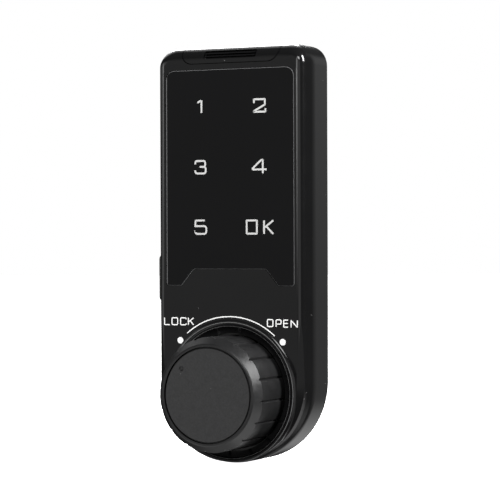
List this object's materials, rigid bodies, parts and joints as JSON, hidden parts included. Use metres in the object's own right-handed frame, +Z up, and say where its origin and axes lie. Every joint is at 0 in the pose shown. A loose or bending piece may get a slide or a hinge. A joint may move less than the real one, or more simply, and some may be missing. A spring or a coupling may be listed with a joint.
{
  "type": "combination locker lock",
  "caption": "Black surface-mounted locker lock with a touch keypad window, a fluted turning knob, a battery cover in the top edge and a cam behind the door.",
  "frame": {"origin": "on the knob's axis, in the gasket face that lies against the locker door", "axes": "+Z up along the lock, +X to the right seen from the front, the front with the keypad looks towards -Y"},
  "size_m": [0.0601, 0.056, 0.1433],
  "materials": {
    "housing_black": "semi-gloss moulded",
    "window_black": "polished acrylic",
    "knob_black": "fine satin moulded",
    "cap_black": "fine spark-eroded",
    "rubber_black": "matte",
    "plate_grey": "die-cast, tumbled",
    "adhesive_clear": "clear film",
    "light_white": "opal",
    "board_green": "solder mask",
    "inner_black": "moulded",
    "contact_brass": "plain",
    "steel_bright": "zinc plated",
    "spindle_metal": "turned",
    "cam_zinc": "zinc plated",
    "solenoid_blue": "painted",
    "cell_jacket": "printed sleeve"
  },
  "bodies": {
    "lock_body": {"front_housing": "housing_black", "back_plate": "plate_grey", "spindle_sleeve": "cam_zinc", "door_gasket": "rubber_black", "touch_window": "window_black", "window_adhesive": "adhesive_clear", "light_guide": "light_white", "key_leds": "light_white", "keypad_board": "board_green", "buzzer": "inner_black", "control_chip": "inner_black", "battery_tray": "inner_black", "battery_contact": "contact_brass", "battery_springs": "steel_bright", "power_socket": "steel_bright", "spindle_bush": "contact_brass", "detent_ball": "steel_bright", "detent_spring": "steel_bright", "solenoid": "solenoid_blue", "solenoid_bracket": "steel_bright", "bracket_screws": "steel_bright", "board_screws": "steel_bright", "housing_screws": "steel_bright", "battery_cell_1": "cell_jacket", "battery_cell_2": "cell_jacket", "battery_cell_3": "cell_jacket"},
    "knob": {"knob_grip": "knob_black", "knob_cap": "cap_black", "knob_screw": "steel_bright", "spindle": "spindle_metal", "spindle_clip": "steel_bright", "locking_rotor": "spindle_metal", "cam_blade": "cam_zinc", "cam_washer": "steel_bright", "cam_screw": "steel_bright"},
    "battery_cover": {"battery_cover": "housing_black", "cover_contact": "contact_brass"},
    "port_cover": {"port_cover": "rubber_black"},
    "lock_bolt": {"lock_bolt": "steel_bright"}
  },
  "joints": [
    {"name": "knob_turn", "type": "hinge", "parent": "lock_body", "child": "knob", "pos_m": [0, 0, 0], "axis": [0, 1, 0], "range_deg": [0, 96]},
    {"name": "battery_cover_slide", "type": "slide", "parent": "lock_body", "child": "battery_cover", "axis": [0, 0, 1], "range_m": [0, 0.014]},
    {"name": "port_cover_pull", "type": "slide", "parent": "lock_body", "child": "port_cover", "axis": [-1, 0, 0], "range_m": [0, 0.005]},
    {"name": "lock_bolt_slide", "type": "slide", "parent": "lock_body", "child": "lock_bolt", "axis": [0, 0, -1], "range_m": [0, 0.0024], "stiffness_N_per_m": 60, "springref_m": -0.001}
  ]
}
